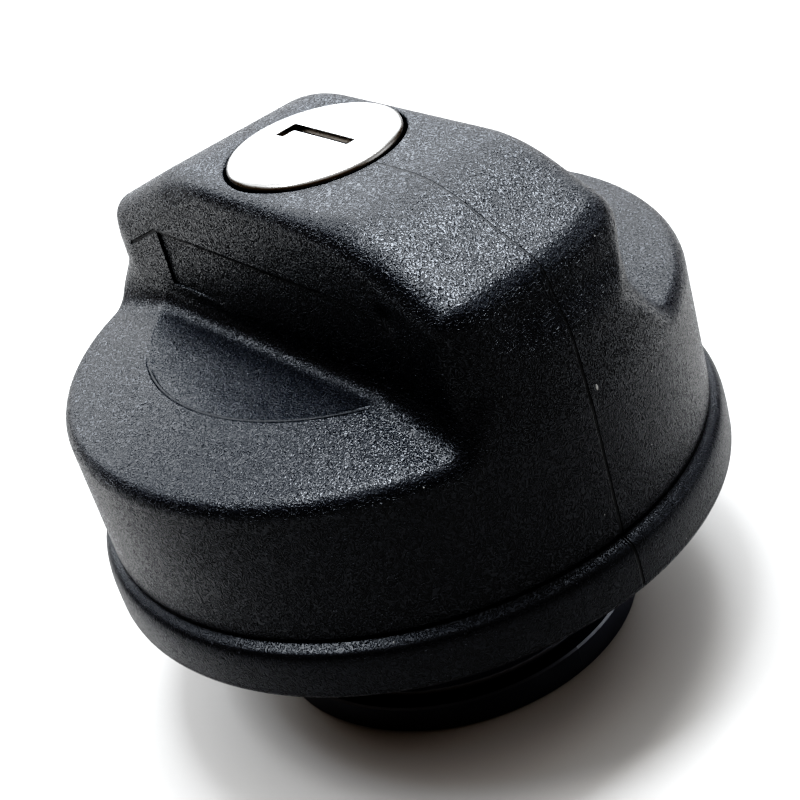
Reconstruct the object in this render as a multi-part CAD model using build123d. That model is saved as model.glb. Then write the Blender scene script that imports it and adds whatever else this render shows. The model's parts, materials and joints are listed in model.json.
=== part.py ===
from build123d import *
import math
import os

os.makedirs("parts", exist_ok=True)

# ---------------------------------------------------------------- driving dimensions (mm)
# Origin: centre of the plug foot. +Z is the cap axis, +X runs along the grip bar.

# cover, outside
Z_RIM = 19.0            # underside of the cover's rim
R_RIM = 37.15           # rim bead
Z_RIM_TOP = 23.2        # top of the straight part of the rim
R_GROOVE = 35.62        # shadow groove between rim bead and wall
Z_GROOVE = 25.3
R_WALL_TOP = 35.35      # wall just under the shoulder
Z_SHOULDER = 41.9
R_SHOULDER_FILLET = 1.5
R_DISH = 24.5           # edge of the dished finger floor beside the bar
Z_DISH_EDGE = 45.1
DISH_STEP = 0.3
# grip bar
Z_BAR_BASE = 41.5
BAR_HALF = 13.1         # half width at its base
BAR_Y = 0.35            # the bar's middle plane, a little beyond the cap axis
BAR_TAPER = 1.4         # draft of the bar's sides, degrees
BAR_END_TAPER = 2.4     # draft of its ends, degrees
BAR_CORNER = 6.5        # plan radius of the bar's four corners
Z_TOP = 63.1            # flat top of the bar
X_FLAT_P, X_FLAT_M = 19.6, 13.4      # the flat ends here, at +X and at -X, and slopes down
SLOPE_P, SLOPE_M = math.radians(25.3), math.radians(23.9)
TOP_BEND_R = 14.0
TOP_EDGE_R = 4.2
FOOT_R = 2.0
# grip recess in each side of the bar
REC_X = 18.5
REC_Z0, REC_Z1 = 48.2, 54.3
REC_DEPTH = 0.5
# cover, inside
WALL = 2.6
R_IN_LOW = 33.4         # bore that takes the flange and the retaining ring
R_IN = 32.8
Z_IN_STEP = 27.0
# lock
R_FACE = 9.77           # steel face
Z_FACE = 63.65
R_FACE_HOLE = 10.2      # hole in the bar top, so the gap round the face is 0.43
R_HOUSING = 10.95
R_HOUSING_SEAT = 11.0
R_ROTOR = 7.6
R_ROTOR_BORE = 7.65
SLOT_X0, SLOT_X1 = -6.12, 4.60      # long leg of the key slot
SLOT_Y0, SLOT_Y1 = 1.05, 2.12
LEG_X1 = -4.95                       # short leg of the key slot
LEG_Y0 = -0.50
LOCK_TURN = 90.0
SLIDE_TRAVEL = 2.6
R_CAM_PIN = 7.0         # radius of the slider's pin when locked
# insert
R_FOOT = 22.9           # pilot collar at the plug's foot
H_FOOT = 3.7
R_PLUG = 20.6
R_THREAD = 22.6
THREAD_PITCH = 5.5
THREAD_TURNS = 1.25
R_FLANGE = 32.0
Z_FLANGE0, Z_FLANGE1 = 23.6, 26.2
Z_SEAL = 21.0           # underside of the gasket
R_CLUTCH_IN, R_CLUTCH_OUT = 25.0, 29.0
Z_CLUTCH = 33.0
N_NOTCH = 12


# ---------------------------------------------------------------- helpers
def cyl(r, z0, z1, x=0.0, y=0.0):
    return Pos(x, y, (z0 + z1) / 2) * Cylinder(r, z1 - z0)


def ring(r0, r1, z0, z1):
    return cyl(r1, z0, z1) - cyl(r0, z0 - 1, z1 + 1)


def box(x0, x1, y0, y1, z0, z1):
    return Pos((x0 + x1) / 2, (y0 + y1) / 2, (z0 + z1) / 2) * Box(x1 - x0, y1 - y0, z1 - z0)


def rounded(points):
    """Closed outline through (u, v, radius) corners, each corner replaced by a tangent arc."""
    n = len(points)
    segs = []
    arcs = []
    for i in range(n):
        u, v, rad = points[i]
        pu, pv, _ = points[i - 1]
        nu, nv, _ = points[(i + 1) % n]
        a = Vector(pu - u, pv - v).normalized()
        b = Vector(nu - u, nv - v).normalized()
        if rad <= 0:
            arcs.append(((u, v), None, (u, v)))
            continue
        half = math.acos(max(-1.0, min(1.0, a.dot(b)))) / 2
        t = rad / math.tan(half)
        p0 = (u + a.X * t, v + a.Y * t)
        p1 = (u + b.X * t, v + b.Y * t)
        m = (a + b).normalized()
        d = rad / math.sin(half)
        c = (u + m.X * d, v + m.Y * d)
        mid = (c[0] - m.X * rad, c[1] - m.Y * rad)
        arcs.append((p0, mid, p1))
    return arcs


def outline_face(points, to3d):
    """Face of a rounded outline, its 2-D corners placed in space by to3d(u, v)."""
    arcs = rounded(points)
    edges = []
    n = len(arcs)
    for i in range(n):
        p0, mid, p1 = arcs[i]
        if mid is not None:
            edges.append(ThreePointArc(to3d(*p0), to3d(*mid), to3d(*p1)))
        q0 = arcs[(i + 1) % n][0]
        if math.dist(p1, q0) > 1e-6:
            edges.append(Line(to3d(*p1), to3d(*q0)))
    return Face(Wire(edges))


def turned(points):
    """Solid of revolution about Z from (r, z[, radius]) corners."""
    pts = [(p[0], p[1], p[2] if len(p) > 2 else 0.0) for p in points]
    face = outline_face(pts, lambda r, z: (r, 0, z))
    return revolve(face, Axis.Z, 360)


def prism_x(points, x0, x1):
    """Outline in the YZ plane, swept along X."""
    pts = [(p[0], p[1], p[2] if len(p) > 2 else 0.0) for p in points]
    face = outline_face(pts, lambda y, z: (x0, y, z))
    return extrude(face, amount=x1 - x0, dir=(1, 0, 0))


def prism_y(points, y0, y1):
    """Outline in the XZ plane, swept along Y."""
    pts = [(p[0], p[1], p[2] if len(p) > 2 else 0.0) for p in points]
    face = outline_face(pts, lambda x, z: (x, y0, z))
    return extrude(face, amount=y1 - y0, dir=(0, 1, 0))


def coil(r_mean, r_wire, z0, z1, turns):
    """Compression spring standing on Z, its wire inside z0..z1."""
    h = (z1 - z0) - 2 * r_wire
    path = Pos(0, 0, z0 + r_wire) * Helix(pitch=h / turns, height=h, radius=r_mean)
    start = path @ 0
    tangent = path % 0
    prof = Plane(origin=start, z_dir=tangent) * Circle(r_wire)
    return sweep(prof, path=path, is_frenet=True)


def one(shape):
    """The single solid of a shape."""
    sol = shape.solids()
    return sol[0] if len(sol) == 1 else Compound(children=list(sol))


PARTS = {}


def keep(name, shape):
    PARTS[name] = shape


# ---------------------------------------------------------------- cover
def bar_plan(r_end, half, corner, z):
    """Plan of the grip bar: two straight sides, ends on the wall's circle, round corners."""
    xf = math.sqrt((r_end - corner) ** 2 - (half - corner) ** 2)
    k = r_end / (r_end - corner)
    tx, ty = xf * k, (half - corner) * k
    am = math.atan2(half - corner, xf)
    dm = (math.atan2(half - corner, xf) + math.pi / 2) / 2
    mx, my = xf + corner * math.cos(dm), half - corner + corner * math.sin(dm)
    e = [Line((-xf, half, z), (xf, half, z)),
         ThreePointArc((xf, half, z), (mx, my, z), (tx, ty, z)),
         ThreePointArc((tx, ty, z), (r_end, 0, z), (tx, -ty, z)),
         ThreePointArc((tx, -ty, z), (mx, -my, z), (xf, -half, z)),
         Line((xf, -half, z), (-xf, -half, z)),
         ThreePointArc((-xf, -half, z), (-mx, -my, z), (-tx, -ty, z)),
         ThreePointArc((-tx, -ty, z), (-r_end, 0, z), (-tx, ty, z)),
         ThreePointArc((-tx, ty, z), (-mx, my, z), (-xf, half, z))]
    return Face(Wire(e))


def top_profile(drop, x_end):
    """Side view of the bar: flat middle, ends sloping down; drop lowers it for the inside."""
    z1 = Z_TOP - drop
    xp = X_FLAT_P - drop * math.tan(SLOPE_P / 2)
    xm = X_FLAT_M - drop * math.tan(SLOPE_M / 2)
    return [(-x_end, 30, 0), (x_end, 30, 0), (x_end, z1 - (x_end - xp) * math.tan(SLOPE_P), 0),
            (xp, z1, TOP_BEND_R - min(drop, 3)), (-xm, z1, TOP_BEND_R - min(drop, 3)),
            (-x_end, z1 - (x_end - xm) * math.tan(SLOPE_M), 0)]


H_BAR = 26.0
bar = Solid.make_loft([
    bar_plan(R_WALL_TOP, BAR_HALF, BAR_CORNER, Z_BAR_BASE).outer_wire(),
    bar_plan(R_WALL_TOP - H_BAR * math.tan(math.radians(BAR_END_TAPER)),
             BAR_HALF - H_BAR * math.tan(math.radians(BAR_TAPER)), BAR_CORNER - 1.2, Z_BAR_BASE + H_BAR).outer_wire()],
    True)
bar = bar & prism_y(top_profile(0, 42), -20, 20)
top_edges = [e for e in bar.edges() if e.center().Z > Z_BAR_BASE + 6
             and abs(e.tangent_at(0.5).Z) < 0.75 and (abs(e.center().Y) > 8 or abs(e.center().X) > 30)]
bar = Pos(0, BAR_Y, 0) * fillet(top_edges, TOP_EDGE_R)

shell = turned([
    (0, Z_RIM), (R_RIM - 0.35, Z_RIM), (R_RIM, Z_RIM + 0.35), (R_RIM, Z_RIM_TOP, 1.2),
    (R_GROOVE + 0.75, Z_GROOVE - 0.35, 0.7), (R_GROOVE, Z_GROOVE - 0.35, 0.15), (R_GROOVE, Z_GROOVE + 0.1),
    (R_WALL_TOP, Z_SHOULDER + 0.15, R_SHOULDER_FILLET),
    (R_DISH, Z_DISH_EDGE), (R_DISH - 0.25, Z_DISH_EDGE - DISH_STEP), (0, Z_DISH_EDGE - DISH_STEP)])
outer = shell + bar

tan_t = math.tan(math.radians(BAR_TAPER))


def side_y(z):
    return BAR_HALF - (z - Z_BAR_BASE) * tan_t


for s in (-1, 1):
    rec = prism_x([(s * (side_y(REC_Z0) - REC_DEPTH), REC_Z0), (s * (side_y(REC_Z0) + 1.5), REC_Z0 - 0.4),
                   (s * (side_y(REC_Z1) + 1.5), REC_Z1 + 0.2), (s * (side_y(REC_Z1) - REC_DEPTH), REC_Z1)],
                  -REC_X, REC_X)
    outer = outer - Pos(0, BAR_Y, 0) * rec

# inside: the stepped bore, the hollow bar, the lock boss, screw bosses and bearing ribs
hollow = turned([(0, 10), (R_IN_LOW, 10), (R_IN_LOW, Z_IN_STEP), (R_IN, Z_IN_STEP), (R_IN, 38.8, 1.0),
                 (R_DISH, 42.2), (0, 42.2)])
bar_hollow = prism_y(top_profile(2.7, 30.2), -10.2, 10.2) & box(-30.2, 30.2, -10.2, 10.2, 41, 70)
lock_boss = cyl(13.2, 42.0, 62.0)
ears = cyl(3.3, 42.0, 56.0, 14.6, 0) + cyl(3.3, 42.0, 56.0, -14.6, 0)
R_CS = 19.0
CS_ANGLES = (45, 135, 225, 315)
bosses = None
for a in CS_ANGLES:
    b = cyl(3.4, 29.8, 44.0, R_CS * math.cos(math.radians(a)), R_CS * math.sin(math.radians(a)))
    bosses = b if bosses is None else bosses + b
ribs = None
for i in range(8):
    r = Rot(0, 0, 22.5 + 45 * i) * box(30.2, 33.2, -1.0, 1.0, Z_IN_STEP, 40.2)
    ribs = r if ribs is None else ribs + r
cover = outer - (hollow + bar_hollow)
cover = cover + (((lock_boss + ears) & outer) + (bosses & outer) + (ribs & outer))
cover = cover - cyl(R_FACE_HOLE, 50, 70) - cyl(R_HOUSING_SEAT, 35, 57.0)
cover = cover - cyl(1.15, 40, 51, 14.6, 0) - cyl(1.15, 40, 51, -14.6, 0)
for a in CS_ANGLES:
    cover = cover - cyl(1.2, 28, 39.5, R_CS * math.cos(math.radians(a)), R_CS * math.sin(math.radians(a)))
keep("cover", cover)

# ---------------------------------------------------------------- lock
def slot_prism(z0, z1, grow=0.0):
    a = box(SLOT_X0 - grow, SLOT_X1 + grow, SLOT_Y0 - grow, SLOT_Y1 + grow, z0, z1)
    b = box(SLOT_X0 - grow, LEG_X1 + grow, LEG_Y0 - grow, SLOT_Y1 + grow, z0, z1)
    return a + b


Z_HEAD0, Z_HEAD1 = 57.1, 62.85
face = turned([(0, Z_HEAD1), (R_FACE - 0.55, Z_HEAD1), (R_FACE - 0.55, 59.6), (R_FACE, 59.6),
               (R_FACE, Z_FACE - 0.15, 0.55), (R_FACE - 1.2, Z_FACE, 3.0), (0, Z_FACE)])
face = face - slot_prism(60, 65)
keep("lock_face", face)

Z_FLAP_AX = 62.0
Y_FLAP_AX = 3.0
rotor = cyl(R_FACE - 0.57, Z_HEAD0, Z_HEAD1) + cyl(R_ROTOR, 36.2, Z_HEAD0 + 0.5) + box(-3.5, 3.5, -3.5, 3.5, 33.0, 36.5)
rotor = rotor - box(-6.5, 4.95, -1.6, 4.0, 57.7, 64)               # shutter chamber
rotor = rotor - Pos(-0.75, Y_FLAP_AX, Z_FLAP_AX) * Rot(0, 90, 0) * Cylinder(0.42, 14.4)
rotor = rotor - slot_prism(40.0, 60, 0.12)                         # keyway
WAFER_Z = (42.6, 45.6, 48.6, 51.6)
for wz in WAFER_Z:
    rotor = rotor - box(-8, 8, -1.95, 3.95, wz - 0.7, wz + 0.7)
    rotor = rotor - box(0.9, 6.3, -3.75, -1.9, wz - 0.7, wz + 0.7)
rotor = rotor - ring(6.65, 9, 37.0, 37.8)                          # clip groove
rotor = rotor - ring(6.45, 9, 54.6, 56.0)                          # O-ring groove
rotor = rotor - cyl(1.25, 32, 38.6)
keep("lock_rotor", rotor)

wafers = []
wsprings = []
for wz in WAFER_Z:
    w = (box(-7.45, 7.45, -1.85, 3.85, wz - 0.62, wz + 0.62) & cyl(R_ROTOR - 0.1, 30, 60))
    w = w + box(1.0, 1.9, -3.6, -1.6, wz - 0.62, wz + 0.62)
    w = w - slot_prism(wz - 2, wz + 2, 0.35)
    wafers.append(w)
    c = Pos(2.0, -2.8, wz) * (Rot(0, 90, 0) * coil(0.42, 0.1, 0, 4.1, 5))
    wsprings.append(c)
keep("wafer_tumblers", Compound(children=[one(w) for w in wafers]))
keep("tumbler_springs", Compound(children=[one(c) for c in wsprings]))

oring = Pos(0, 0, 55.3) * Torus(6.45 + 0.58, 0.56)
keep("lock_o_ring", oring)

clip = ring(6.68, 9.2, 37.05, 37.7) - box(0, 12, -3.6, 3.6, 36, 39)
keep("rotor_clip", clip)

housing = cyl(R_HOUSING, 38.0, 56.95) + (cyl(17.8, 38.0, 40.4) & box(-18, 18, -9.7, 9.7, 30, 60))
housing = housing - cyl(R_ROTOR_BORE, 30, 60)
housing = housing - box(-8.8, 8.8, -2.2, 4.2, 40.4, 53.4)
housing = housing - cyl(1.6, 37, 42, 14.6, 0) - cyl(1.6, 37, 42, -14.6, 0)
keep("lock_housing", housing)


def screw(x, y, z_head, z_tip, r_head, r_shank, h_head, up=True):
    """Cross-recess pan-head screw on Z; head below, shank up."""
    head = turned([(0, z_head - h_head), (r_head, z_head - h_head, 0.5), (r_head, z_head), (r_shank, z_head),
                   (r_shank, z_tip - 1.2), (r_shank * 0.45, z_tip), (0, z_tip)])
    rec = box(-0.35, 0.35, -r_head * 0.55, r_head * 0.55, z_head - h_head - 1, z_head - h_head + h_head * 0.6)
    head = head - rec - Rot(0, 0, 90) * rec
    return Pos(x, y, 0) * head


keep("lock_screws", Compound(children=[one(screw(sx * 14.6, 0, 38.0, 49.5, 2.6, 1.15, 1.7)) for sx in (-1, 1)]))

# dust shutter: a flap on a cross pin, held up against the face by a coiled spring
flap = box(-6.0, 4.6, -1.0, 1.9, 62.15, 62.6) + box(-6.0, 2.4, 1.5, 3.0, 62.15, 62.6)
flap = flap + Pos(-1.8, Y_FLAP_AX, Z_FLAP_AX) * Rot(0, 90, 0) * Cylinder(0.72, 8.4)
flap = flap - Pos(-1.8, Y_FLAP_AX, Z_FLAP_AX) * Rot(0, 90, 0) * Cylinder(0.44, 12)
keep("key_shutter", flap)
keep("shutter_pin", Pos(-0.75, Y_FLAP_AX, Z_FLAP_AX) * Rot(0, 90, 0) * Cylinder(0.38, 13.8))
sp = Pos(2.55, Y_FLAP_AX, Z_FLAP_AX) * (Rot(0, 90, 0) * coil(0.58, 0.11, 0, 1.9, 5))
keep("shutter_spring", sp)

# ---------------------------------------------------------------- cam, slider and carrier
Z_CAM0, Z_CAM1 = 33.1, 36.1
cam = cyl(12.2, Z_CAM0, Z_CAM1) - box(-3.53, 3.53, -3.53, 3.53, 30, 40)
n = 28
inner_pts, outer_pts = [], []
w = 1.2
for i in range(n + 1):
    f = i / n
    a = -math.radians(LOCK_TURN) * f
    r = R_CAM_PIN + SLIDE_TRAVEL * f
    inner_pts.append(((r - w) * math.cos(a), (r - w) * math.sin(a)))
    outer_pts.append(((r + w) * math.cos(a), (r + w) * math.sin(a)))
g_face = Face(Wire(Polyline(*[(p[0], p[1], Z_CAM0 - 1) for p in inner_pts + outer_pts[::-1]], close=True).edges()))
groove = extrude(g_face, amount=3.6, dir=(0, 0, 1))
groove = groove + cyl(w, Z_CAM0 - 1, Z_CAM0 + 2.6, R_CAM_PIN, 0)
groove = groove + cyl(w, Z_CAM0 - 1, Z_CAM0 + 2.6, 0, -(R_CAM_PIN + SLIDE_TRAVEL))
cam = cam - groove
keep("cam_disc", cam)
keep("cam_screw", screw(0, 0, 33.0, 38.2, 2.7, 1.2, 1.5))

slider = box(4.2, 24.2, -4.0, 4.0, 30.0, 32.7) + cyl(1.0, 32.5, 35.4, R_CAM_PIN, 0)
slider = slider & (cyl(24.35, 25, 33) + cyl(3, 25, 36, R_CAM_PIN, 0))
keep("clutch_slider", slider)

carrier = cyl(24.4, 27.5, 29.8)
carrier = carrier + box(6.0, 23.0, 4.15, 6.6, 29.0, 32.8) + box(6.0, 23.0, -6.6, -4.15, 29.0, 32.8)
for a in CS_ANGLES:
    cx, cy = R_CS * math.cos(math.radians(a)), R_CS * math.sin(math.radians(a))
    carrier = carrier - cyl(1.6, 26, 31, cx, cy) - cyl(3.2, 26, 28.3, cx, cy)
carrier = carrier & (cyl(24.4, 27, 34))
keep("carrier_plate", carrier)
keep("carrier_screws", Compound(children=[one(screw(R_CS * math.cos(math.radians(a)), R_CS * math.sin(math.radians(a)),
                                                    28.3, 37.6, 2.8, 1.2, 0.75)) for a in CS_ANGLES]))

ret = ring(30.3, R_IN_LOW - 0.02, 20.3, 23.4)
keep("retaining_ring", ret)
keep("glide_washer", ring(29.6, 32.2, 26.3, 26.9))

# ---------------------------------------------------------------- neck insert
insert = turned([
    (0, 20.4), (18.0, 20.4), (18.0, 0.0), (R_FOOT - 0.3, 0.0), (R_FOOT, 0.3), (R_FOOT, H_FOOT - 0.25, 0.0),
    (R_FOOT - 0.25, H_FOOT), (R_PLUG, H_FOOT, 0.6), (R_PLUG, 19.4, 0.8), (21.6, 19.8, 0.3), (21.6, Z_FLANGE0 - 1.4),
    (21.6, Z_FLANGE0), (R_FLANGE, Z_FLANGE0), (R_FLANGE, Z_FLANGE1), (R_CLUTCH_OUT, Z_FLANGE1),
    (R_CLUTCH_OUT, Z_CLUTCH), (R_CLUTCH_IN, Z_CLUTCH), (R_CLUTCH_IN, Z_FLANGE1), (0, Z_FLANGE1)])
for i in range(N_NOTCH):
    insert = insert - Rot(0, 0, 360 / N_NOTCH * i) * box(22, 27.4, -4.4, 4.4, Z_FLANGE1 + 1.0, 40)
insert = insert - cyl(9.05, 15, 30) - cyl(11.6, 23.8, 30)
# coarse neck thread, one and a quarter turns
helix = Pos(0, 0, 9.9) * Helix(pitch=THREAD_PITCH, height=THREAD_PITCH * THREAD_TURNS, radius=R_PLUG)
tooth = Plane(origin=helix @ 0, x_dir=(1, 0, 0), z_dir=helix % 0) * Polygon(
    (-0.5, -1.9), (R_THREAD - R_PLUG, -0.9), (R_THREAD - R_PLUG, 0.9), (-0.5, 1.9), align=None)
insert = insert + sweep(tooth, path=helix, is_frenet=True)
keep("neck_insert", insert)
keep("gasket", turned([(22.2, 21.6), (22.9, Z_SEAL, 0.3), (28.7, Z_SEAL, 0.3), (29.4, 21.6), (29.4, Z_FLANGE0), (22.2, Z_FLANGE0)]))

# ---------------------------------------------------------------- valve
vb = turned([(5.0, 6.0), (9.0, 6.0, 0.4), (9.0, 23.8), (11.5, 23.8), (11.5, 25.4), (0, 25.4), (0, 23.0), (7.6, 23.0),
             (7.6, 8.2), (5.0, 8.2)])
for i in range(4):
    vb = vb - cyl(1.1, 22, 26, 4.6 * math.cos(math.pi / 2 * i), 4.6 * math.sin(math.pi / 2 * i))
keep("valve_body", vb)
keep("pressure_seal", turned([(4.3, 8.25, 0.2), (6.7, 8.25, 0.2), (6.7, 9.4), (4.3, 9.4)]))
pp = turned([(1.6, 9.4), (7.3, 9.4), (7.3, 10.6), (4.9, 10.6), (4.9, 11.6), (1.6, 11.6)])
keep("pressure_plate", pp)
keep("pressure_spring", coil(6.1, 0.4, 10.6, 23.0, 5))
vp = turned([(0, 8.1), (3.3, 8.1, 0.3), (3.3, 9.35), (1.0, 9.35), (1.0, 17.0), (3.2, 17.0), (3.2, 17.8, 0.2), (0, 17.8)])
keep("vacuum_poppet", vp)
keep("vacuum_spring", coil(2.45, 0.25, 11.6, 17.0, 5))
fc = cyl(17.95, 0.6, 2.2)
for i in range(8):
    fc = fc - Rot(0, 0, 45 * i) * box(8.0, 15.0, -1.0, 1.0, 0, 3)
keep("foot_cover", fc)

for name, shape in PARTS.items():
    export_step(shape, "parts/%s.step" % name)
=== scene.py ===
import bpy
import json
import math
import numpy as np
from mathutils import Matrix, Vector


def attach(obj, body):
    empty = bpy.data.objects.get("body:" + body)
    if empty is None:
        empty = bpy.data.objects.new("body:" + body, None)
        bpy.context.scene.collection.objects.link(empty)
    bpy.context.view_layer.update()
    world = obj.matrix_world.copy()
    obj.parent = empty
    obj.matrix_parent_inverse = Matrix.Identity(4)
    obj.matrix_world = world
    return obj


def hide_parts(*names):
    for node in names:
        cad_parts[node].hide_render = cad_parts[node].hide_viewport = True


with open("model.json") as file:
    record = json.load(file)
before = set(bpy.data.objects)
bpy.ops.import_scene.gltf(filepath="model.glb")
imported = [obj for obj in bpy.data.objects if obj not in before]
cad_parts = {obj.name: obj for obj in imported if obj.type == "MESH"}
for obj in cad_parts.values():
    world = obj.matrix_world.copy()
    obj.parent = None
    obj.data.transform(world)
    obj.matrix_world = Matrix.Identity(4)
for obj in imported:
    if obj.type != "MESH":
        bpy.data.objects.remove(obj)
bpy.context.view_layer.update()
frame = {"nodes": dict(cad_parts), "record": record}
nodes = frame["nodes"]
scene = bpy.context.scene
MM = 0.001

# ------------------------------------------------------------------ camera
CAM_P = (143.537837, -85.17078, 130.31284)          # millimetres
CAM_R, CAM_U, CAM_F = (0.621273, 0.741878, -0.252262), (-0.270599, 0.505248, 0.819451), (-0.735388, 0.440841, -0.514649)
LENS = 75.857

cam_data = bpy.data.cameras.new("camera")
cam = bpy.data.objects.new("camera", cam_data)
scene.collection.objects.link(cam)
cam_data.sensor_width = 36.0
cam_data.sensor_fit = "HORIZONTAL"
cam_data.lens = LENS
cam_data.clip_start, cam_data.clip_end = 0.005, 20.0
r, u, f = Vector(CAM_R), Vector(CAM_U), Vector(CAM_F)
cam.matrix_world = Matrix((
    (r.x, u.x, -f.x, CAM_P[0] * MM),
    (r.y, u.y, -f.y, CAM_P[1] * MM),
    (r.z, u.z, -f.z, CAM_P[2] * MM),
    (0, 0, 0, 1)))
scene.camera = cam

# ------------------------------------------------------------------ the cover's outer form, in millimetres
Z_TOP, T_BEND = 63.1, 4.4
EDGE_R = {1: 4.3, -1: 2.0}                   # the top's long edges
X_BEND = {1: 19.6, -1: 13.4}                 # the top's flat ends here at +x and at -x
A_TOP = {1: math.radians(25.3), -1: math.radians(23.9)}
END_SLOPE = {1: 0.070, -1: 0.0125}
HALF = {1: 13.6, -1: 12.5}                   # half width of the bar's base at +y and at -y
Z_BASE, BAR_SLOPE = 41.5, 0.0247
R_SH, WALL_SLOPE = 35.6, 0.004
R_DISH, Z_DISH, CONE, DISH_STEP = 24.5, 45.1, 0.257, 0.34
R_HOLE, R_HOLE_LIP = 10.05, 10.45
REC_X, REC_Z0, REC_Z1, REC_DEPTH = 18.5, 48.2, 54.9, 0.24
LEDGE = 0.11


def sstep(a, b, v):
    t = np.clip((v - a) / (b - a), 0, 1)
    return t * t * (3 - 2 * t)


def round_and(a, b, r):
    return np.minimum(-r, np.maximum(a, b)) + np.hypot(np.maximum(r + a, 0), np.maximum(r + b, 0))


def round_or(a, b, r):
    return np.maximum(r, np.minimum(a, b)) - np.hypot(np.maximum(r - a, 0), np.maximum(r - b, 0))


def body(x, y, z, sx, sy):
    """Below zero inside the moulded outer form; x and y are distances towards the quarter (sx, sy)."""
    rr = np.hypot(x, y)
    v = x - X_BEND[sx]
    g = np.where(v < -T_BEND, 0, np.where(v > T_BEND, v, (v + T_BEND) ** 2 / (4 * T_BEND)))
    dg = np.clip((v + T_BEND) / (2 * T_BEND), 0, 1)
    ta = math.tan(A_TOP[sx])
    ends = END_SLOPE[sx] * sstep(4, 20, x)
    wall = R_SH + np.where(z < Z_BASE, (Z_BASE - z) * WALL_SLOPE, -(z - Z_BASE) * ends)
    d_wall = rr - wall
    d_side = y - (HALF[sy] - (z - Z_BASE) * BAR_SLOPE)
    d_top = (z - Z_TOP + ta * g) / np.sqrt(1 + (ta * dg) ** 2)
    edge = EDGE_R[sy] + (0.0 if sy > 0 else 2.0 * sstep(5, 14, x) if sx < 0 else 1.3 * sstep(8, 20, x))
    d_bar = round_and(d_side, d_top, edge)
    d_floor = (z - (Z_DISH - CONE * np.maximum(rr - R_DISH, 0))) * 0.97
    up = round_or(d_floor, d_bar, 1.9 + 1.1 * sstep(16, 29, x))
    rho = 1.5 + 5.0 * sstep(43.5, 48.5, z) - 3.4 * sstep(52, 57, z)
    if sx > 0 and sy < 0:
        rho = rho - 2.9 * sstep(4, 10, y) * sstep(43.5, 48.5, z) * (1 - 0.45 * sstep(52, 57, z))
    return round_and(up, d_wall, rho)


def cover_columns(sy):
    """Azimuths over a quarter turn: closer at the bar's corners, with a pair at the recess's end edge."""
    a = math.degrees(math.atan2(HALF[sy] - (51.2 - Z_BASE) * BAR_SLOPE, REC_X))
    d = math.degrees(LEDGE * math.sin(math.radians(a)) / math.hypot(REC_X, HALF[sy]))
    dens = lambda p: 1.0 + 1.1 * math.exp(-((p - 24) / 9.0) ** 2)
    def fill(p0, p1, n):
        t = np.linspace(p0, p1, 400)
        w = np.cumsum([dens(x) for x in t]); w = (w - w[0]) / (w[-1] - w[0])
        return list(np.interp(np.linspace(0, 1, n + 1), w, t))
    low = fill(0.0, a, 47)
    high = fill(a + d, 90.0, 43)
    return np.array(low + high), a, a + d


def resample(s, r, z, s0, s1, n, ends=True):
    """n+1 points from arc length s0 to s1, closer where the section bends."""
    t = np.linspace(s0, s1, 600)
    rr, zz = np.interp(t, s, r), np.interp(t, s, z)
    dr, dz = np.gradient(rr, t), np.gradient(zz, t)
    ang = np.unwrap(np.arctan2(dz, dr))
    k = np.abs(np.gradient(ang, t))
    ker = np.exp(-(np.linspace(-3, 3, 41)) ** 2); ker /= ker.sum()
    k = np.convolve(np.pad(k, 20, mode="edge"), ker, mode="valid")
    w = 1.0 + 4.5 * np.minimum(k, 1.0)
    c = np.concatenate([[0], np.cumsum((w[1:] + w[:-1]) / 2)]); c /= c[-1]
    v = np.interp(np.linspace(0, 1, n + 1), c, t)
    return np.interp(v, s, r), np.interp(v, s, z)


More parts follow.
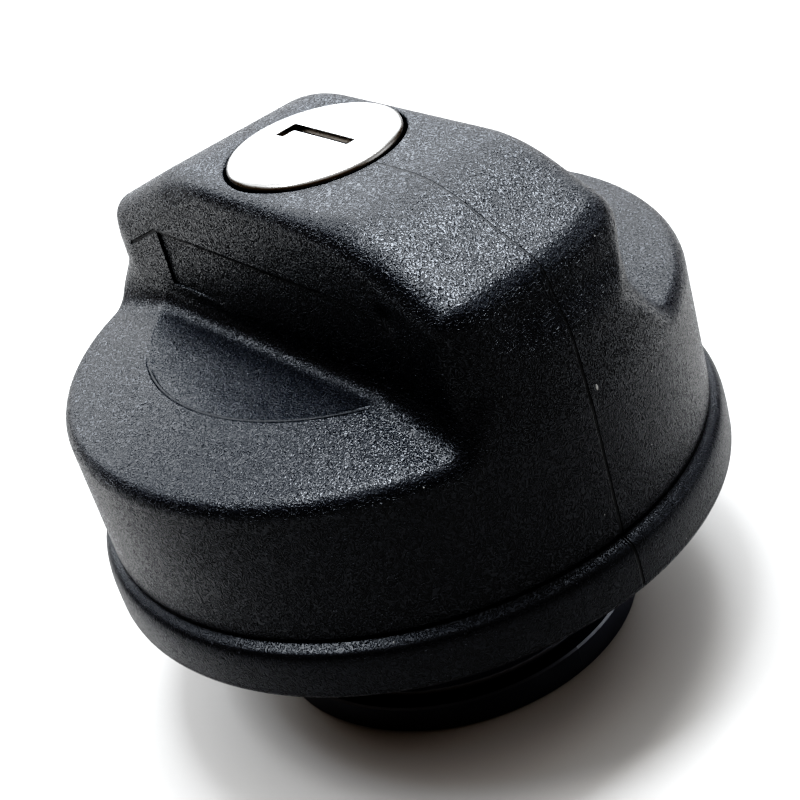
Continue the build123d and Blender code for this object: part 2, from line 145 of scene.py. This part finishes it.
def cover_quarter(sx, sy):
    """Grid of (x, y, z) over a quarter turn for the form above z 40.5: rows from the hole's lip outward."""
    cols, col_a, col_b = cover_columns(sy)
    ia, ib = int(np.argmin(abs(cols - col_a))), int(np.argmin(abs(cols - col_b)))
    phi = np.radians(cols)
    c0 = 38.0
    el = np.concatenate([np.linspace(math.atan2(25.3, R_HOLE_LIP - 0.3), math.radians(3.0), 2200)])
    pp, ee = np.meshgrid(phi, el, indexing="ij")
    dx, dy, dz = np.cos(pp) * np.cos(ee), np.sin(pp) * np.cos(ee), np.sin(ee)
    lo, hi = np.full(pp.shape, 9.0), np.full(pp.shape, 48.0)
    for _ in range(26):
        m = (lo + hi) / 2
        ins = body(m * dx, m * dy, c0 + m * dz, sx, sy) < 0
        lo, hi = np.where(ins, m, lo), np.where(ins, hi, m)
    t = (lo + hi) / 2
    R, Z = t * np.cos(ee), c0 + t * dz
    n1, n2, n3, n4 = 58, 12, 30, 24
    rows_r, rows_z = [], []
    for i in range(len(cols)):
        r, z = R[i], Z[i]
        s = np.concatenate([[0], np.cumsum(np.hypot(np.diff(r), np.diff(z)))])
        below = lambda zz: s[np.argmax(z < zz)]
        def at_z(zz):
            j = int(np.argmax(z < zz))
            return s[j - 1] + (s[j] - s[j - 1]) * (z[j - 1] - zz) / (z[j - 1] - z[j])
        def at_r(rv):
            j = int(np.argmax(r > rv))
            return s[j - 1] + (s[j] - s[j - 1]) * (rv - r[j - 1]) / (r[j] - r[j - 1])
        s0 = at_r(R_HOLE_LIP)
        s1, s2 = at_z(REC_Z1), at_z(REC_Z0)
        s3 = max(at_r(R_DISH), at_z(45.3))
        s4 = at_z(40.5)
        a = resample(s, r, z, s0, s1, n1)
        b = resample(s, r, z, at_z(REC_Z1 - LEDGE), at_z(REC_Z0 + LEDGE), n2)
        c = resample(s, r, z, s2, s3 - 0.12, n3)
        d = resample(s, r, z, s3, s4, n4)
        rows_r.append(np.concatenate([a[0], b[0], c[0], d[0]]))
        rows_z.append(np.concatenate([a[1], b[1], c[1], d[1]]))
    R, Z = np.array(rows_r), np.array(rows_z)
    P = np.repeat(phi[:, None], R.shape[1], 1)
    # the recess's end edge stands upright, so the columns near it lean a little with the wall's draft
    want = np.arctan2(HALF[sy] - (Z - Z_BASE) * BAR_SLOPE, REC_X)
    ramp = sstep(46.6, 48.2, Z) * (1 - sstep(54.9, 58.9, Z))
    near = np.clip(1 - np.maximum(np.radians(col_a) - P, P - np.radians(col_b)) / np.radians(5.0), 0, 1)
    near = np.where(Z > 46, near, 0)
    P2 = P + (want - np.radians(col_a)) * ramp * near
    lo, hi = np.full(R.shape, 8.0), np.full(R.shape, 40.0)
    for _ in range(26):
        m = (lo + hi) / 2
        ins = body(m * np.cos(P2), m * np.sin(P2), Z, sx, sy) < 0
        lo, hi = np.where(ins, m, lo), np.where(ins, hi, m)
    moved = (np.abs(P2 - P) > 1e-9)
    R = np.where(moved, (lo + hi) / 2, R)
    X, Y = R * np.cos(P2), R * np.sin(P2)
    ra, rb, rc = n1, n1 + 1, n1 + 1 + n2          # rows at the recess's top edge, floor top, floor bottom
    inside = np.zeros(R.shape, bool)
    inside[ib:, rb:rc + 1] = True
    deep = 1 - sstep(-15, -5, sx * X) * np.clip((REC_Z1 - Z) / (REC_Z1 - REC_Z0), 0, 1)
    Y = np.where(inside, Y - REC_DEPTH * deep, Y)
    # a small sunk gate mark past the recess's end
    away = np.hypot(X - 23.3, (Z - 54.6) * 0.8)
    if sx > 0 and sy < 0:
        Y = np.where((Z > 50) & (Y > 8), Y - 0.45 * (1 - sstep(0.3, 1.6, away)), Y)
    # the finger floor is a step lower inside its circle
    step_row = n1 + 1 + n2 + 1 + n3
    fade = np.zeros(R.shape)
    fade[:, :step_row + 1] = 1
    fade *= np.where((Z < 47.4) & (R < R_DISH + 0.01), 1 - sstep(45.2, 47.2, Z), 0)
    fade = fade * sstep(14.5, 20.5, Y) * (1 - (0.95 * sstep(6, 13, X) if sx < 0 else 0.0))
    Z = Z - DISH_STEP * fade
    return X, Y, Z


def build_cover():
    # four quarters share their end columns
    def quarter(sx, sy):
        X, Y, Z = cover_quarter(sx, sy)
        step = -1 if sx * sy < 0 else 1
        return sx * X[::step], sy * Y[::step], Z[::step]
    parts = [quarter(1, 1), quarter(-1, 1), quarter(-1, -1), quarter(1, -1)]
    gx = np.concatenate([p[0][:-1] for p in parts]); gy = np.concatenate([p[1][:-1] for p in parts])
    gz = np.concatenate([p[2][:-1] for p in parts])
    az = np.arctan2(gy[:, -1], gx[:, -1])
    ca, sa = np.cos(az)[:, None], np.sin(az)[:, None]
    def ringrow(r, z):
        n = len(az)
        return ca * r, sa * r, np.full((n, 1), z)
    lip = []
    for rr, zz in ((R_HOLE, 57.0), (R_HOLE, 58.6), (R_HOLE, 60.2), (R_HOLE, 61.6), (R_HOLE, 62.4), (R_HOLE, 62.8)):
        lip.append(ringrow(rr, zz))
    ztop = gz[:, :1]
    for t in (0.0, 0.25, 0.5, 0.75):
        a = t * math.pi / 2
        e = R_HOLE_LIP - R_HOLE
        lip.append((ca * (R_HOLE + e * (1 - math.cos(a))), sa * (R_HOLE + e * (1 - math.cos(a))),
                    ztop - e * (1 - math.sin(a))))
    low = []
    def wall_r(z):
        return R_SH + (Z_BASE - z) * WALL_SLOPE
    for z in np.linspace(39.3, 26.6, 13):
        low.append((wall_r(z), z))
    # wall foot, groove and rim bead
    low += [(35.62, 26.1), (35.60, 25.75), (35.56, 25.5), (35.51, 25.34), (35.52, 25.22), (35.62, 25.14),
            (35.80, 25.05), (36.00, 24.95), (36.22, 24.83), (36.44, 24.70), (36.63, 24.53), (36.79, 24.30),
            (36.92, 23.99), (37.01, 23.60), (37.08, 23.1), (37.12, 22.5), (37.145, 21.7), (37.15, 20.8),
            (37.15, 19.95), (37.14, 19.62), (37.09, 19.34), (36.97, 19.14), (36.78, 19.03), (36.5, 19.0),
            (36.0, 19.0), (35.2, 19.0), (34.4, 19.0), (33.85, 19.0), (33.62, 19.04), (33.46, 19.16), (33.4, 19.36),
            (33.4, 20.4), (33.4, 22.5), (33.4, 25.0), (33.4, 26.9), (33.3, 27.0), (32.9, 27.0), (32.8, 27.1),
            (32.8, 30.0), (32.8, 34.0), (32.8, 37.4), (32.6, 38.2), (32.1, 38.8), (31.2, 39.4), (28.4, 40.6),
            (24.5, 42.2), (20.0, 42.2), (16.0, 42.2), (12.6, 42.2), (11.1, 42.2), (11.0, 42.3), (11.0, 46.0),
            (11.0, 50.0), (11.0, 54.0), (11.0, 56.9), (10.9, 57.0), (10.5, 57.0)]
    rows = [np.concatenate([l[k] for l in lip], 1) for k in range(3)]
    lows = [ringrow(r_, z_) for r_, z_ in low]
    x = np.concatenate([rows[0], gx] + [l[0] for l in lows], 1) * MM
    y = np.concatenate([rows[1], gy] + [l[1] for l in lows], 1) * MM
    z = np.concatenate([rows[2], gz] + [l[2] for l in lows], 1) * MM
    nc, nr = x.shape
    verts = np.stack([x, y, z], -1).reshape(-1, 3)
    i = np.arange(nc)[:, None]; j = np.arange(nr)[None, :]
    i2, j2 = (i + 1) % nc, (j + 1) % nr
    # rows run outward and down, columns run anticlockwise
    quads = np.stack([i * nr + j, i * nr + j2, i2 * nr + j2, i2 * nr + j], -1).reshape(-1, 4)
    return verts, quads


def mesh_object(name, verts, quads, angle=34.0):
    me = bpy.data.meshes.new(name)
    me.vertices.add(len(verts)); me.vertices.foreach_set("co", verts.astype(np.float32).ravel())
    me.loops.add(quads.size); me.loops.foreach_set("vertex_index", quads.astype(np.int32).ravel())
    me.polygons.add(len(quads))
    me.polygons.foreach_set("loop_start", np.arange(0, quads.size, quads.shape[1], dtype=np.int32))
    me.update(calc_edges=True)
    me.validate()
    me.polygons.foreach_set("use_smooth", np.ones(len(me.polygons), bool))
    me.set_sharp_from_angle(angle=math.radians(angle))
    ob = bpy.data.objects.new(name, me)
    scene.collection.objects.link(ob)
    return ob


verts, quads = build_cover()
cover = mesh_object("cover_shell", verts, quads)
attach(cover, "cover")
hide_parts("cover")

# ------------------------------------------------------------------ the lock's stamped steel face
def build_face():
    """A crowned disc with a rolled edge; the key slot is cut through it."""
    prof = [(0.0, 63.650)]
    for r_ in np.linspace(0.6, 8.9, 14):
        prof.append((r_, 63.65 - 0.055 * (r_ / 8.9) ** 2))
    for a in np.linspace(8, 90, 12):
        t = math.radians(a)
        prof.append((9.07 + 0.70 * math.sin(t), 62.895 + 0.70 * math.cos(t)))
    prof += [(9.77, 61.8), (9.77, 60.9), (9.77, 60.0), (9.74, 59.72), (9.64, 59.62), (9.45, 59.6), (9.26, 59.62),
             (9.22, 59.8), (9.22, 61.0), (9.22, 62.3), (9.18, 62.7), (9.0, 62.84), (8.6, 62.85), (6.5, 62.85),
             (3.2, 62.85), (0.0, 62.85)]
    n = 144
    vs, fs = [(0, 0, prof[0][1])], []
    for r_, z_ in prof[1:-1]:
        for k in range(n):
            a = 2 * math.pi * k / n
            vs.append((r_ * math.cos(a), r_ * math.sin(a), z_))
    vs.append((0, 0, prof[-1][1]))
    for k in range(n):
        fs.append((0, 1 + k, 1 + (k + 1) % n))
    for j in range(len(prof) - 3):
        b = 1 + j * n
        for k in range(n):
            k2 = (k + 1) % n
            fs.append((b + k, b + n + k, b + n + k2, b + k2))
    b, e = 1 + (len(prof) - 3) * n, len(vs) - 1
    for k in range(n):
        fs.append((b + k, e, b + (k + 1) % n))
    me = bpy.data.meshes.new("disc")
    me.from_pydata([(x * MM, y * MM, z * MM) for x, y, z in vs], [], fs)
    me.update()
    return me


def build_slot():
    """The key slot as a prism with round corners, for cutting."""
    def corner(cx, cy, r_, a0, a1):
        return [(cx + r_ * math.cos(math.radians(a)), cy + r_ * math.sin(math.radians(a)))
                for a in np.linspace(a0, a1, 4)]
    q = 0.13
    ring = (corner(-6.20 + q, -0.60 + q, q, 180, 270) + corner(-4.80 - q, -0.60 + q, q, 270, 360)
            + corner(-4.80 + q, 0.98 - q, q, 180, 90) + corner(4.70 - q, 0.98 + q, q, 270, 360)
            + corner(4.70 - q, 2.20 - q, q, 0, 90) + corner(-6.20 + q, 2.20 - q, q, 90, 180))
    n = len(ring)
    me = bpy.data.meshes.new("slot")
    me.from_pydata([(x * MM, y * MM, z * MM) for z in (61.5, 65.0) for x, y in ring], [],
                   [tuple(range(n - 1, -1, -1)), tuple(range(n, 2 * n))]
                   + [(k, (k + 1) % n, n + (k + 1) % n, n + k) for k in range(n)])
    me.update()
    return me


face = bpy.data.objects.new("steel_face", build_face())
cutter = bpy.data.objects.new("slot_cutter", build_slot())
for o in (face, cutter):
    scene.collection.objects.link(o)
mod = face.modifiers.new("slot", "BOOLEAN")
mod.operation, mod.solver, mod.object = "DIFFERENCE", "EXACT", cutter
bev = face.modifiers.new("break", "BEVEL")
bev.width, bev.segments, bev.limit_method, bev.angle_limit = 0.00006, 2, "ANGLE", math.radians(50)
bpy.context.view_layer.update()
cut = bpy.data.meshes.new_from_object(face.evaluated_get(bpy.context.evaluated_depsgraph_get()))
face.modifiers.clear()
face.data = cut
bpy.data.objects.remove(cutter)
cut.polygons.foreach_set("use_smooth", np.ones(len(cut.polygons), bool))
cut.set_sharp_from_angle(angle=math.radians(32))
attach(face, "rotor")
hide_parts("lock_face")

# ------------------------------------------------------------------ materials
class Mat:
    """A node material on object coordinates scaled to millimetres."""

    def __init__(self, name, rough=0.5, metal=0.0, color=(0.5, 0.5, 0.5), level=0.5):
        self.m = bpy.data.materials.new(name)
        self.m.use_nodes = True
        self.t = self.m.node_tree
        self.b = self.t.nodes["Principled BSDF"]
        self.b.inputs["Roughness"].default_value = rough
        self.b.inputs["Metallic"].default_value = metal
        self.b.inputs["Base Color"].default_value = (*color, 1)
        self.b.inputs["Specular IOR Level"].default_value = level
        self.obj = self.t.nodes.new("ShaderNodeTexCoord").outputs["Object"]
        self.mm = self.vec("SCALE", self.obj, scale=1000.0)
        self.sep = self.t.nodes.new("ShaderNodeSeparateXYZ")
        self.link(self.mm, self.sep.inputs[0])
        self.x, self.y, self.z = self.sep.outputs

    def link(self, a, b):
        self.t.links.new(a, b)

    def put(self, socket, v):
        if isinstance(v, bpy.types.NodeSocket):
            self.link(v, socket)
        else:
            socket.default_value = v

    def vec(self, op, a, b=None, scale=None):
        n = self.t.nodes.new("ShaderNodeVectorMath")
        n.operation = op
        self.put(n.inputs[0], a)
        if b is not None:
            self.put(n.inputs[1], b)
        if scale is not None:
            n.inputs["Scale"].default_value = scale
        return n.outputs["Value"] if op in ("DOT_PRODUCT", "LENGTH", "DISTANCE") else n.outputs["Vector"]

    def math(self, op, a, b=None, c=None, clamp=False):
        n = self.t.nodes.new("ShaderNodeMath")
        n.operation = op
        n.use_clamp = clamp
        for i, v in enumerate((a, b, c)):
            if v is not None:
                self.put(n.inputs[i], v)
        return n.outputs[0]

    def noise(self, scale, detail=2.0, rough=0.5, vec=None, out="Fac", dist=0.0):
        n = self.t.nodes.new("ShaderNodeTexNoise")
        self.put(n.inputs["Vector"], vec or self.mm)
        n.inputs["Scale"].default_value = scale
        n.inputs["Detail"].default_value = detail
        n.inputs["Roughness"].default_value = rough
        n.inputs["Distortion"].default_value = dist
        return n.outputs[out]

    def voronoi(self, scale, vec=None, feature="F1", out="Distance", rand=1.0):
        n = self.t.nodes.new("ShaderNodeTexVoronoi")
        n.feature = feature
        self.put(n.inputs["Vector"], vec or self.mm)
        n.inputs["Scale"].default_value = scale
        n.inputs["Randomness"].default_value = rand
        return n.outputs[out]

    def gabor(self, scale, freq, vec=None):
        n = self.t.nodes.new("ShaderNodeTexGabor")
        n.gabor_type = "3D"
        self.put(n.inputs["Vector"], vec or self.mm)
        n.inputs["Scale"].default_value = scale
        n.inputs["Frequency"].default_value = freq
        n.inputs["Anisotropy"].default_value = 0.0
        return n.outputs["Value"]

    def step(self, v, lo, hi, a=0.0, b=1.0):
        n = self.t.nodes.new("ShaderNodeMapRange")
        n.interpolation_type = "SMOOTHSTEP"
        self.put(n.inputs["Value"], v)
        n.inputs["From Min"].default_value = lo
        n.inputs["From Max"].default_value = hi
        n.inputs["To Min"].default_value = a
        n.inputs["To Max"].default_value = b
        return n.outputs["Result"]

    def mix(self, f, a, b, kind="MIX"):
        n = self.t.nodes.new("ShaderNodeMix")
        n.data_type = "RGBA"
        n.blend_type = kind
        self.put(n.inputs[0], f)
        self.put(n.inputs[6], a if isinstance(a, bpy.types.NodeSocket) else (*a, 1))
        self.put(n.inputs[7], b if isinstance(b, bpy.types.NodeSocket) else (*b, 1))
        return n.outputs[2]

    def bump(self, height, mm, normal=None, strength=1.0):
        n = self.t.nodes.new("ShaderNodeBump")
        n.inputs["Distance"].default_value = mm * MM
        n.inputs["Strength"].default_value = strength
        self.put(n.inputs["Height"], height)
        if normal is not None:
            self.link(normal, n.inputs["Normal"])
        return n.outputs[0]

    def stretch(self, sx, sy, sz):
        return self.vec("MULTIPLY", self.mm, (sx, sy, sz))

    def done(self, color=None, rough=None, normal=None):
        if color is not None:
            self.link(color, self.b.inputs["Base Color"])
        if rough is not None:
            self.link(rough, self.b.inputs["Roughness"])
        if normal is not None:
            self.link(normal, self.b.inputs["Normal"])
        return self.m


def grained_plastic():
    """Black moulding with a worm grain: short wandering valleys between low plateaux."""
    m = Mat("grained_plastic", 0.42, level=0.36)
    f = m.noise(1.72, 0.0, dist=0.3)
    wave = m.math("SINE", m.math("MULTIPLY", f, 30.0))
    worm = m.step(wave, -0.70, 0.25)                     # 0 in a valley, 1 on a plateau
    gaps = m.noise(2.6, 0.0, vec=m.vec("ADD", m.mm, (31.0, 17.0, 5.0)))
    worm = m.math("MAXIMUM", worm, m.step(gaps, 0.56, 0.66, 0.0, 0.8))
    fine = m.noise(4.5, 1.0, 0.6)
    height = m.math("MULTIPLY_ADD", fine, 0.35, worm)
    # the mould's parting line runs over the bar and down both ends
    ay = m.math("ABSOLUTE", m.math("ADD", m.y, m.math("MULTIPLY_ADD", m.noise(0.35, 1.0), 0.10, -0.05)))
    outside = m.step(m.z, 19.4, 20.0)
    faint = m.step(m.noise(0.22, 2.0), 0.34, 0.52, 0.75, 1.0)
    lowdown = m.step(m.z, 55.0, 48.0)
    width = m.math("MULTIPLY_ADD", lowdown, 0.07, 0.12)
    seam = m.math("MULTIPLY", m.math("MULTIPLY", m.step(m.math("DIVIDE", ay, width), 0.55, 1.15, 1.0, 0.0), outside), faint)
    calm = m.math("MULTIPLY", m.step(m.z, 26.2, 25.4), m.step(m.z, 19.0, 20.0))        # the rim is polished finer
    calm = m.math("MAXIMUM", calm, m.step(m.z, 44.0, 38.0, 0.0, 0.55))
    height = m.math("MULTIPLY", height, m.math("MULTIPLY_ADD", calm, -0.66, 1.0))
    height = m.math("MULTIPLY_ADD", height, m.math("SUBTRACT", 1.0, seam), m.math("MULTIPLY", seam, -1.1))
    # scribed lines that carry the recess's top edge on towards the bar's ends, and one round the finger floor's step:
    # bump grooves whose near-black colour is painted shade at those step edges
    ax = m.math("ABSOLUTE", m.x)
    side = m.math("MULTIPLY", m.step(m.math("ABSOLUTE", m.y), 11.2, 11.6), m.step(m.math("MULTIPLY", m.x, -1.0), -15.0, -9.0, 0.15, 1.0))
    side = m.math("MULTIPLY", side, m.step(ax, 26.2, 25.6))
    edge = m.math("MINIMUM", 54.95, m.math("MULTIPLY_ADD", ax, -0.45, 63.5))
    line = m.math("MULTIPLY", m.step(m.math("ABSOLUTE", m.math("SUBTRACT", m.z, edge)), 0.12, 0.28, 1.0, 0.0), side)
    rad = m.vec("LENGTH", m.vec("MULTIPLY", m.mm, (1, 1, 0)))
    arc = m.step(m.math("ABSOLUTE", m.math("SUBTRACT", rad, R_DISH + 0.12)), 0.08, 0.30, 1.0, 0.0)
    arc = m.math("MULTIPLY", arc, m.step(m.math("ABSOLUTE", m.y), 14.0, 17.0, 0.0, 0.85))
    arc = m.math("MULTIPLY", arc, m.math("MULTIPLY", m.step(m.z, 43.6, 44.1), m.step(m.z, 46.4, 46.0)))
    arc = m.math("MULTIPLY", arc, m.step(m.x, -14.0, -8.0))
    line = m.math("MAXIMUM", m.math("MULTIPLY", line, m.step(m.noise(0.5, 1.0), 0.30, 0.45, 0.7, 1.0)), arc)
    height = m.math("MULTIPLY_ADD", height, m.math("SUBTRACT", 1.0, line), m.math("MULTIPLY", line, -1.0))
    nrm = m.bump(height, 0.21)
    wear = m.noise(0.09, 3.0, 0.55)
    base = m.mix(worm, (0.0025, 0.0029, 0.0039), (0.0060, 0.0070, 0.0094))
    base = m.mix(m.step(wear, 0.35, 0.7, 0.0, 0.35), base, (0.0092, 0.0101, 0.0122))
    # painted shade: the scribed lines are coloured near-black; the seam's dark colour is its own dark joint
    base = m.mix(m.math("MAXIMUM", seam, line), base, (0.001, 0.001, 0.0012))
    dust = m.math("MULTIPLY", m.step(m.voronoi(0.55), 0.035, 0.06, 1.0, 0.0), m.step(m.noise(0.6), 0.60, 0.66))
    fleck = m.vec("LENGTH", m.vec("MULTIPLY", m.vec("SUBTRACT", m.mm, (35.5, 1.2, 42.9)), (1.0, 2.6, 1.0)))
    dust = m.math("MAXIMUM", dust, m.step(fleck, 0.30, 0.42, 1.0, 0.0))
    base = m.mix(dust, base, (0.30, 0.30, 0.29))
    worm = m.math("MULTIPLY", worm, m.math("SUBTRACT", 1.0, m.math("MAXIMUM", seam, line)))
    valley = m.math("MULTIPLY", m.math("SUBTRACT", 1.0, worm), m.math("MULTIPLY_ADD", calm, -0.22, 0.35))
    valley = m.math("MULTIPLY_ADD", calm, 0.10, valley)
    rough = m.math("ADD", m.math("ADD", valley, 0.25), m.math("MULTIPLY_ADD", m.noise(0.16, 3.0), 0.12, -0.06))
    return m.done(base, rough, nrm)


def smooth_black():
    """Smooth satin moulding with faint flow marks and small scuffs."""
    m = Mat("smooth_black", 0.34, level=0.85)
    flow = m.noise(0.10, 3.0, 0.55, vec=m.stretch(1, 1, 2.6), dist=0.6)
    scuff = m.step(m.noise(0.9, 4.0, 0.65, vec=m.stretch(1, 1, 0.35)), 0.58, 0.75)
    base = m.mix(m.step(flow, 0.3, 0.7), (0.040, 0.045, 0.056), (0.056, 0.062, 0.076))
    base = m.mix(m.math("MULTIPLY", scuff, 0.35), base, (0.060, 0.064, 0.072))
    rough = m.math("MULTIPLY_ADD", flow, 0.16, m.math("MULTIPLY_ADD", scuff, 0.18, 0.26))
    line = m.step(m.math("ABSOLUTE", m.y), 0.05, 0.13, 1.0, 0.0)
    h = m.math("MULTIPLY_ADD", line, 0.6, m.math("MULTIPLY", m.noise(3.2, 2.0), 0.22))
    return m.done(base, rough, m.bump(h, 0.03))


def inner_black():
    m = Mat("inner_black", 0.42)
    n = m.noise(0.25, 4.0, 0.6)
    spark = m.step(m.noise(3.0, 2.0), 0.35, 0.75)
    base = m.mix(m.step(n, 0.3, 0.7), (0.016, 0.0165, 0.018), (0.030, 0.030, 0.031))
    rough = m.math("MULTIPLY_ADD", n, 0.22, 0.32)
    ribs = m.math("SINE", m.math("MULTIPLY", m.z, 9.0))
    h = m.math("MULTIPLY_ADD", ribs, 0.06, m.math("MULTIPLY", spark, 0.3))
    return m.done(base, rough, m.bump(h, 0.03))


def acetal():
    m = Mat("acetal", 0.38)
    m.b.inputs["Subsurface Weight"].default_value = 0.12
    m.b.inputs["Subsurface Scale"].default_value = 0.0012
    n = m.noise(0.35, 4.0, 0.6)
    base = m.mix(m.step(n, 0.3, 0.75), (0.70, 0.675, 0.60), (0.83, 0.81, 0.75))
    base = m.mix(m.step(m.noise(1.8, 3.0, 0.7), 0.62, 0.78, 0.0, 0.30), base, (0.50, 0.46, 0.38))
    return m.done(base, m.math("MULTIPLY_ADD", n, 0.2, 0.30), m.bump(m.noise(2.4, 3.0), 0.025))


def rubber():
    m = Mat("rubber", 0.62, level=0.4)
    n = m.noise(0.5, 4.0, 0.6)
    bloom = m.step(m.noise(0.14, 3.0, 0.6), 0.45, 0.75)
    base = m.mix(bloom, (0.0095, 0.0095, 0.0100), (0.0230, 0.0230, 0.0225))
    base = m.mix(m.step(m.noise(4.0, 2.0), 0.68, 0.76, 0.0, 0.5), base, (0.06, 0.06, 0.058))
    return m.done(base, m.math("MULTIPLY_ADD", n, 0.22, 0.50), m.bump(m.noise(6.5, 3.0, 0.65), 0.035))


def satin_steel():
    """Stamped stainless face: satin, with a fine straight grain and a few hairlines."""
    m = Mat("satin_steel", 0.26, metal=1.0)
    brush = m.noise(1.0, 3.0, 0.6, vec=m.stretch(0.35, 9.0, 4.0))
    hair = m.step(m.noise(0.8, 2.0, 0.5, vec=m.stretch(0.3, 5.5, 1.0), dist=0.4), 0.66, 0.70)
    spots = m.step(m.noise(0.7, 4.0, 0.6), 0.35, 0.75)
    base = m.mix(brush, (0.50, 0.495, 0.485), (0.60, 0.595, 0.585))
    base = m.mix(m.math("MULTIPLY", spots, 0.25), base, (0.47, 0.463, 0.452))
    # painted shade: the key slot's cut walls and the skirt under the roll are darkened, and the face is darkened
    # outward across its rolled edge
    rad = m.vec("LENGTH", m.vec("MULTIPLY", m.mm, (1, 1, 0)))
    painted_shade_slot_skirt = m.math("MAXIMUM", m.math("MULTIPLY", m.step(m.z, 63.54, 63.46), m.step(rad, 8.6, 8.4)), m.step(m.z, 63.25, 62.95, 0.0, 0.8))
    base = m.mix(painted_shade_slot_skirt, base, (0.120, 0.100, 0.080))
    # painted shade on the rolled edge, darker towards its outside
    base = m.mix(m.step(rad, 8.5, 9.65, 0.0, 0.88), base, (0.150, 0.142, 0.132))
    rough = m.math("MULTIPLY_ADD", brush, 0.12, m.math("MULTIPLY_ADD", spots, 0.06, 0.20))
    h = m.math("MULTIPLY_ADD", hair, -0.5, brush)
    return m.done(base, rough, m.bump(h, 0.006))


def metal(name, lo, hi, r0, grain, dist, spot=(0.3, 0.28, 0.25)):
    m = Mat(name, r0, metal=1.0)
    n = m.noise(grain, 4.0, 0.6)
    tone = m.noise(0.22, 3.0, 0.6)
    stain = m.step(m.noise(0.55, 4.0, 0.65), 0.60, 0.78, 0.0, 0.45)
    base = m.mix(m.step(tone, 0.3, 0.7), lo, hi)
    base = m.mix(stain, base, spot)
    rough = m.math("ADD", m.math("MULTIPLY_ADD", n, 0.18, r0 - 0.09), m.math("MULTIPLY", stain, 0.25))
    return m.done(base, rough, m.bump(n, dist))


MATS = {
    "cover_plastic": grained_plastic(), "insert_plastic": smooth_black(), "inner_plastic": inner_black(),
    "acetal": acetal(), "seal_rubber": rubber(), "face_steel": satin_steel(),
    "zinc_casting": metal("zinc_casting", (0.40, 0.40, 0.41), (0.56, 0.56, 0.57), 0.42, 2.2, 0.030),
    "wafer_brass": metal("wafer_brass", (0.66, 0.49, 0.22), (0.80, 0.62, 0.33), 0.30, 4.5, 0.010, (0.34, 0.24, 0.12)),
    "spring_steel": metal("spring_steel", (0.46, 0.46, 0.47), (0.60, 0.60, 0.61), 0.26, 6.0, 0.006),
    "plate_steel": metal("plate_steel", (0.52, 0.52, 0.53), (0.66, 0.66, 0.66), 0.34, 3.0, 0.012),
    "screw_steel": metal("screw_steel", (0.58, 0.58, 0.54), (0.72, 0.72, 0.70), 0.30, 3.6, 0.014, (0.45, 0.40, 0.28)),
}
cover.data.materials.append(MATS["cover_plastic"])
face.data.materials.clear()
face.data.materials.append(MATS["face_steel"])
for row in frame["record"]["subparts"]:
    ob, mat = nodes[row["node"]], MATS[row["material_slot"]]
    if not ob.material_slots:
        ob.data.materials.append(mat)
    for ms in ob.material_slots:
        ms.link = "OBJECT"
        ms.material = mat

# ------------------------------------------------------------------ floor and light
def paper():
    m = Mat("paper", 0.85, level=0.2)
    n = m.noise(0.02, 3.0, 0.6)
    m.done(m.mix(n, (0.352, 0.338, 0.322), (0.370, 0.356, 0.340)), None, m.bump(m.noise(1.2, 4.0), 0.01))
    return m.m


fm = bpy.data.meshes.new("floor")
s = 1.5
fm.from_pydata([(-s, -s, 0), (s, -s, 0), (s, s, 0), (-s, s, 0)], [], [(0, 1, 2, 3)])
floor = bpy.data.objects.new("floor", fm)
scene.collection.objects.link(floor)
fm.materials.append(paper())

# the room: windows behind the cap and above it, a dim warm side in front
world = bpy.data.worlds.new("world")
scene.world = world
world.use_nodes = True
wt = world.node_tree
dot = wt.nodes.new("ShaderNodeVectorMath")
dot.operation = "DOT_PRODUCT"
wt.links.new(wt.nodes.new("ShaderNodeTexCoord").outputs["Generated"], dot.inputs[0])
dot.inputs[1].default_value = Vector((-0.15, 0.10, 0.98)).normalized()
dome = wt.nodes.new("ShaderNodeMapRange")
dome.interpolation_type = "SMOOTHSTEP"
wt.links.new(dot.outputs["Value"], dome.inputs["Value"])
dome.inputs["From Min"].default_value, dome.inputs["From Max"].default_value = 0.40, 0.98
tint = wt.nodes.new("ShaderNodeMix")
tint.data_type = "RGBA"
wt.links.new(dome.outputs["Result"], tint.inputs[0])
tint.inputs[6].default_value = (0.13, 0.095, 0.065, 1)
tint.inputs[7].default_value = (1.43, 1.46, 1.50, 1)
wt.links.new(tint.outputs[2], wt.nodes["Background"].inputs[0])
wt.nodes["Background"].inputs[1].default_value = 1.0


def panel(name, azimuth, elevation, distance, size, radiance, color=(0.935, 1.0, 1.075)):
    """A soft panel facing the cap; its power is set from the radiance it shows."""
    a, e = math.radians(azimuth), math.radians(elevation)
    pos = Vector((math.cos(a) * math.cos(e), math.sin(a) * math.cos(e), math.sin(e))) * distance
    d = bpy.data.lights.new(name, "AREA")
    d.shape = "RECTANGLE"
    d.size, d.size_y = size
    d.energy = radiance * math.pi * size[0] * size[1]
    d.color = color
    o = bpy.data.objects.new(name, d)
    scene.collection.objects.link(o)
    o.location = pos
    o.rotation_mode = "QUATERNION"
    o.rotation_quaternion = (Vector((0, 0, 0.04)) - pos).to_track_quat("-Z", "Y")
    return o


panel("back_window", 150, 26, 1.2, (2.0, 0.64), 2.8)
panel("high_lamp", 150, 80, 1.2, (0.30, 0.30), 36.0)
panel("high_window", 102, 66, 1.2, (0.38, 0.38), 20.0)
panel("left_window", 203, 43, 1.2, (0.44, 0.36), 1.6)
panel("side_fill", 52, 24, 1.3, (1.0, 0.5), 1.7)
panel("edge_lamp", 244, 64, 1.2, (0.30, 0.28), 22.0)

scene.view_settings.view_transform = "Standard"
scene.view_settings.use_curve_mapping = True
tone = scene.view_settings.curve_mapping
tone.use_clip = False
for x, y in ((0.018, 0.0012), (0.032, 0.006), (0.058, 0.035), (0.085, 0.080), (0.12, 0.145), (0.20, 0.265), (0.34, 0.55)):
    tone.curves[3].points.new(x, y)
tone.curves[3].points[-1].location = (0.58, 1.0)
tone.update()
